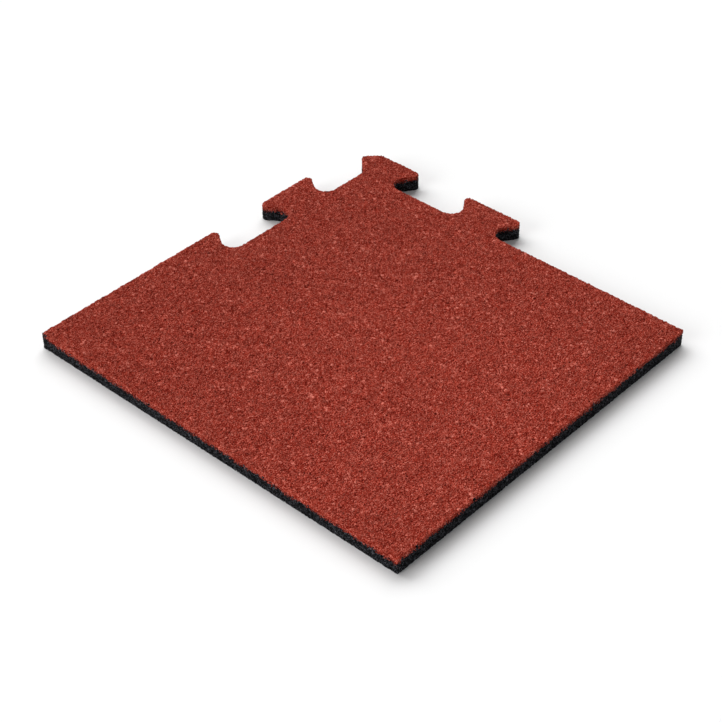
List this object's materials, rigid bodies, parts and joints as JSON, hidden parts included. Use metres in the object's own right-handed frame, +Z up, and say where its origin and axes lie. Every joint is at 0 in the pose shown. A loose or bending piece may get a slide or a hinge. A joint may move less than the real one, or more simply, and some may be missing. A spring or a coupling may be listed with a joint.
{
  "type": "interlocking rubber gym floor tile, corner piece",
  "caption": "Flat square floor tile of pressed rubber granules, red wear layer on a black base layer, with dovetail tabs on one edge and dovetail gaps in the next, near their corner.",
  "frame": {"origin": "middle of the 500 by 500 mm square that the tile fills, on the underside", "axes": "+Z up through the wear layer, +X out of the edge with the tabs, +Y out of the edge with the gaps"},
  "size_m": [0.5, 0.5, 0.02],
  "materials": {
    "black_granulate": "matt pressed black rubber granules with open pores",
    "red_granulate": "matt pressed brick-red rubber granules with fine pores"
  },
  "bodies": {
    "root": {"base_layer": "black_granulate", "wear_layer": "red_granulate"}
  },
  "joints": []
}
